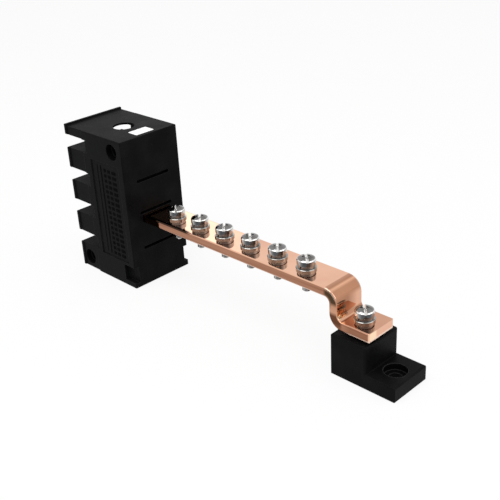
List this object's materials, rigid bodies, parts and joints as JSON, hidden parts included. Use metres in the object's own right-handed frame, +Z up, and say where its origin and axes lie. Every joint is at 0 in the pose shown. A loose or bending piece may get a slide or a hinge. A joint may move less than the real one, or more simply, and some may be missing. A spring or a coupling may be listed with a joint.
{
  "type": "earth terminal bar",
  "caption": "Joggled copper earth bar with a row of screw terminals, held by a tall stepped insulating support and a small insulating foot.",
  "frame": {"origin": "middle of the stepped support's underside", "axes": "+X along the bar from the support to the foot, +Z up, +Y to the left seen from the foot"},
  "size_m": [0.2385, 0.042, 0.094],
  "materials": {
    "support_moulding": "fine satin moulding, black",
    "foot_moulding": "satin moulding, black",
    "bar_copper": "bright rolled copper",
    "insert_brass": "turned brass",
    "screw_steel": "bright nickel plate",
    "spring_washer_steel": "bright plate",
    "flat_washer_steel": "bright nickel plate"
  },
  "bodies": {
    "root": {"stepped_support": "support_moulding", "copper_bar": "bar_copper", "foot_insulator": "foot_moulding", "foot_insert": "insert_brass", "terminal_screw_1": "screw_steel", "spring_washer_1": "spring_washer_steel", "flat_washer_1": "flat_washer_steel", "terminal_screw_2": "screw_steel", "spring_washer_2": "spring_washer_steel", "flat_washer_2": "flat_washer_steel", "terminal_screw_3": "screw_steel", "spring_washer_3": "spring_washer_steel", "flat_washer_3": "flat_washer_steel", "terminal_screw_4": "screw_steel", "spring_washer_4": "spring_washer_steel", "flat_washer_4": "flat_washer_steel", "terminal_screw_5": "screw_steel", "spring_washer_5": "spring_washer_steel", "flat_washer_5": "flat_washer_steel", "terminal_screw_6": "screw_steel", "spring_washer_6": "spring_washer_steel", "flat_washer_6": "flat_washer_steel", "terminal_screw_7": "screw_steel", "spring_washer_7": "spring_washer_steel", "flat_washer_7": "flat_washer_steel"}
  },
  "joints": []
}
